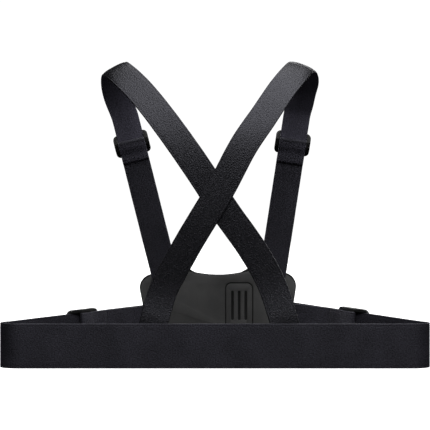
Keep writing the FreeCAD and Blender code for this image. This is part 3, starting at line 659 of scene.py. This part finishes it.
def quarter(leg, start, end):
    """The middles along a quarter of the turn around the plate's bar: 0 degrees is its outer side, 180 its inner."""
    middles = []
    for turn in np.radians(even_steps(start, end, 15)):
        if leg.bar is None:
            out = -leg.n * math.cos(turn) - leg.u * math.sin(turn)
            middles.append(leg.point(leg.low, 0, leg.loop) + out * leg.loop)
        else:
            out = leg.outward * math.cos(turn) - leg.flat * math.sin(turn)
            middles.append(leg.bar + out * leg.loop + np.array([0, 0, leg.start[2]]))
    return middles


def shoulder_route(word, leg):
    """From the sewn end over the shoulder to the bottom of the loop in the plate's ear."""
    rows = np.array(STATIONS[word], float)
    middles = rows[:, :3] + np.array([0, BACK_Y, 0])
    lean, turn = np.radians(rows[:, 3]), np.radians(rows[:, 4])
    acrosses = np.stack([np.cos(lean) * np.cos(turn), np.sin(turn), np.sin(lean) * np.cos(turn)], 1)
    middles = np.vstack([middles, leg.point(leg.high)])
    acrosses = np.vstack([acrosses, -leg.v])
    travel = np.concatenate([[0], np.cumsum(np.linalg.norm(np.diff(middles, axis=0), axis=1))])
    steps = even_steps(0, travel[-1], 2)
    first, last = unit(middles[1] - middles[0]), -leg.u
    line = curve_through(middles, travel, steps, first, last)
    rim = curve_through(middles + acrosses * STRAP_WIDTH / 2, travel, steps, first, last)
    route = Route(steps[int(np.argmax(line[:, 2]))])
    for middle, edge in zip(line, rim):
        route.add(middle, edge - middle)
    route.extend([leg.point(at) for at in even_steps(leg.high, leg.low, 3)[1:]], -leg.v)
    route.extend(quarter(leg, 0, 90)[1:], -leg.v)
    return route


def belt_side(leg, forward):
    """The belt's middles from one plate loop to the flat of the back: along the run, then round the bend."""
    up = np.array([0, 0, 1])
    part = quarter(leg, 90, 0)
    drop = leg.start[2] - BELT_WIDTH / 2
    part += [leg.start + leg.flat * at - up * drop * at / leg.run for at in even_steps(0, leg.run, 3)[1:]]
    start, end = math.atan2(leg.outward[1], leg.outward[0]), -math.pi / 2
    if forward:
        end += math.tau if start > math.pi / 2 else 0
        start += math.tau if start < 0 else 0
    for turn in even_steps(start, end, math.radians(6))[1:]:
        spot = leg.bend + BEND_RADIUS * np.array([math.cos(turn), math.sin(turn), 0])
        part.append(spot + up * BELT_WIDTH / 2)
    return part


def belt_route(legs):
    """From one plate loop around the back to the other, with the width upright all the way."""
    up = np.array([0, 0, 1])
    left, right = belt_side(legs["left"], True), belt_side(legs["right"], False)[::-1]
    gap = right[0] - left[-1]
    route = Route()
    route.extend(left, up)
    route.extend([left[-1] + gap * t for t in even_steps(0, 1, 0.008)[1:-1]], up)
    route.extend(right, up)
    return route


def tail_route(word, kind, leg):
    """From the bottom of the plate's loop up the return run, around the slider's middle bar and down to the end."""
    tail, post = TAIL[f"{word}_{kind}"], POST_HALF[kind]
    across = leg.v if kind == "shoulder" else np.array([0, 0, math.copysign(1, leg.v[2])])
    route = Route()
    route.extend(quarter(leg, 90, 180), across)
    start = route.middles[-1]
    under = LAYER_GAP + WEBBING
    meet = leg.point(-tail, 0, under)
    count = round(np.linalg.norm(meet - start) / 2.5)
    for t in [i / count for i in range(1, count + 1)]:
        route.add(start + (meet - start) * t, across * (1 - t) + leg.v * t)
    # From here each point is (u, n): up to the bar, half a turn over it, and down on top of the return run.
    turn_at, top = post - 0.05, under + FOLD_RISE
    middle_n, radius = (under + top) / 2, (top - under) / 2
    low = under + WEBBING + FOLD_GAP
    line = [(-tail / 2, under), (0, under), (turn_at, under)]
    for t in np.radians(range(15, 180, 15)):
        line.append((turn_at + 1.6 * math.sin(t), middle_n - radius * math.cos(t)))
    line += [(turn_at, top), (0, top), (-post, top - 0.05), (-post - 2.2, top - 0.55), (-post - 4.6, low + 0.5)]
    line += [(-post - 6.8, low + 0.08), (-post - 9, low)]
    if tail > post + 9:
        line += [(u, low) for u in even_steps(-post - 9, -tail, 2)[1:]]
    for u, n in line:
        # Painted shade: where the tail turns over the shoulder slider's middle bar, in the slider's shadow, both
        # sides take the darker marked tone.
        over_bar = kind == "shoulder" and u > 0 and n > middle_n
        route.add(leg.point(u, 0, n), leg.v, over_bar)
    return route


def stitch(points, normal):
    """Little rods for a run of stitches between points. normal points out of the webbing."""
    verts, faces = [], []
    for a, b in zip(points, points[1:]):
        middle, along = (a + b) / 2, b - a
        length = np.linalg.norm(along) * 0.8
        along = unit(along)
        side = np.cross(along, normal)
        base = len(verts)
        rings = [(-0.5, 0.35, -0.16), (-0.38, 0.9, 0.03), (0, 1, 0.08), (0.38, 0.9, 0.03), (0.5, 0.35, -0.16)]
        for t, fat, lift in rings:
            for k in range(6):
                angle = math.tau * k / 6
                out = side * math.cos(angle) + normal * math.sin(angle)
                verts.append((middle + along * (length * t) + normal * lift + out * (THREAD / 2 * fat)) * MM)
        for r in range(len(rings) - 1):
            for k in range(6):
                low, high = base + r * 6 + k, base + r * 6 + (k + 1) % 6
                faces.append((low, high, high + 6, low + 6))
        last = base + 6 * (len(rings) - 1)
        faces.append(tuple(base + k for k in range(5, -1, -1)))
        faces.append(tuple(last + k for k in range(6)))
    return verts, faces


def stitches(name, lines, body):
    """Several runs of stitches, each a list of points and the face's normal, as one piece of thread."""
    verts, faces = [], []
    for points, normal in lines:
        more, shapes = stitch(points, normal)
        faces += [tuple(i + len(verts) for i in shape) for shape in shapes]
        verts += more
    piece = new_piece(name, verts, faces, PAINTS["thread"])
    tidy_normals(piece)
    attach(piece, body)
    return piece


def line_of(start, end, step=2.4):
    """The ends of the stitches along a straight line, about step mm apart."""
    count = max(2, round(np.linalg.norm(end - start) / step))
    return [start + (end - start) * i / count for i in range(count + 1)]


def make_strip(name, route, width, paint, seed, nodes):
    """A strip of webbing that stands for these CAD nodes."""
    piece = webbing(name, route, width, paint, seed)
    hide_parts(*nodes)
    return piece


def make_tail(word, kind, leg, seed):
    """A strap's return run and sewn tail, with its stitches and its slider."""
    name, body = f"{word}_{kind}", f"{word}_{kind}_adjuster"
    width = STRAP_WIDTH if kind == "shoulder" else BELT_WIDTH
    paint = PAINTS["strap_tail" if kind == "shoulder" else "belt"]
    nodes = (name + "_return", name + "_fold")
    piece = make_strip(name + "_tail", tail_route(word, kind, leg), width, paint, seed, nodes)
    start, end = leg.point(leg.low, 0, 2 * leg.loop) * MM, leg.point(-TAIL[name]) * MM
    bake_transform(piece)
    thread = tail_stitches(name, leg, width, body)
    return [piece, thread, softened(name + "_slider", 0.45, PAINTS["slider"], body)]


def make_webbing():
    made = []
    shoulder = {word: shoulder_leg(word) for word in ("left", "right")}
    belt = {word: belt_leg(word) for word in ("left", "right")}
    for i, (word, leg) in enumerate(shoulder.items()):
        route, nodes = shoulder_route(word, leg), (f"{word}_shoulder_strap",)
        piece = make_strip(f"{word}_shoulder_webbing", route, STRAP_WIDTH, PAINTS["strap"], i + 1, nodes)
        made.append(piece)
    made.append(make_strip("waist_webbing", belt_route(belt), BELT_WIDTH, PAINTS["belt"], 3, ("waist_belt",)))
    for piece in made:
        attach(piece, "harness")
    for kind, look, legs in (("shoulder", "strap", shoulder), ("belt", "belt", belt)):
        for i, (word, leg) in enumerate(legs.items()):
            made += make_tail(word, kind, leg, 5 + i + len(made))
    return made + [back_stitches()]


def tail_stitches(name, leg, width, body):
    """Two rows across the sewn tail, joined at their ends.

    They stand one thickness of webbing above the tail's face: on it, high would have 2 * WEBBING."""
    high = LAYER_GAP + 3 * WEBBING + WEBBING / 2 + FOLD_GAP
    reach = width / 2 - 2.5
    rows = [-TAIL[name] + 1.8, -TAIL[name] + 5.2]
    lines = [(line_of(leg.point(u, -reach, high), leg.point(u, reach, high)), leg.n) for u in rows]
    for v in (-reach, reach):
        lines.append((line_of(leg.point(rows[0], v, high), leg.point(rows[1], v, high), 1.7), leg.n))
    return stitches(name + "_tail_thread", lines, body)


def back_stitches():
    """A sewn box with a cross on each shoulder strap's end, on the belt's outside and on the strap's inside.

    The inner boxes are sunk in the straps: most of their stitches lie wholly under the surface."""
    back = np.array([0, BACK_Y, 0])
    box = ((-9.5, 2.5), (9.5, 2.5), (9.5, 20.5), (-9.5, 20.5))
    strap_face = BACK_Y + 2.4 + WEBBING / 2
    lines = []
    for word in ("left", "right"):
        low, high = (np.array(station[:3], float) + back for station in STATIONS[word][:2])
        along = unit(high - low)
        across = unit(np.array([along[2], 0, -along[0]]))
        for y, normal in ((BACK_Y, np.array([0, -1, 0])), (strap_face, np.array([0, 1, 0]))):
            corners = []
            for a, b in box:
                spot = low + across * a + along * b
                corners.append(np.array([spot[0], y, spot[2]]))
            for a, b in ((0, 1), (1, 2), (2, 3), (3, 0), (0, 2), (1, 3)):
                lines.append((line_of(corners[a], corners[b]), normal))
    return stitches("back_thread", lines, "harness")


# ---- plate, pad and mount ----


def mark_grooves(pad):
    """Marks the floors and walls of the pad's moulded grooves, which the pad's material paints dark as shade."""
    coords = np.empty(len(pad.data.vertices) * 3)
    pad.data.vertices.foreach_get("co", coords)
    x, y, z = coords.reshape(-1, 3).T / MM
    across, middle_z, half_width, half_height = PANEL
    inside = (abs(x - PLATE_X - across) < half_width) & (abs(z - middle_z) < half_height)
    inside &= (y > PAD_FACE_Y + PANEL_DEPTH[0]) & (y < PAD_FACE_Y + PANEL_DEPTH[1])
    mark = pad.data.attributes.new("groove", "FLOAT", "POINT")
    mark.data.foreach_set("value", inside.astype(np.float32))


def make_hard_parts():
    made = [
        softened("chest_plate", 0.5, PAINTS["plate"], "harness"),
        softened("mount_socket", 0.5, PAINTS["mount"], "harness"),
        softened("quick_release_buckle", 0.35, PAINTS["mount"], "buckle"),
        softened("tilt_arm", 0.35, PAINTS["mount"], "arm"),
        softened("thumb_knob", 0.6, PAINTS["knob"], "thumb"),
        softened("thumb_screw", 0.2, PAINTS["steel"], "thumb"),
        softened("hex_nut", 0.2, PAINTS["steel"], "buckle"),
        softened("socket_screws", 0.1, PAINTS["steel"], "harness"),
    ]
    pad = softened("chest_pad", 0.45, PAINTS["pad"], "harness")
    mark_grooves(pad)
    return made + [pad]


make_camera()
pieces = make_webbing() + make_hard_parts()
make_stage(pieces)
scene.view_settings.view_transform = "Standard"
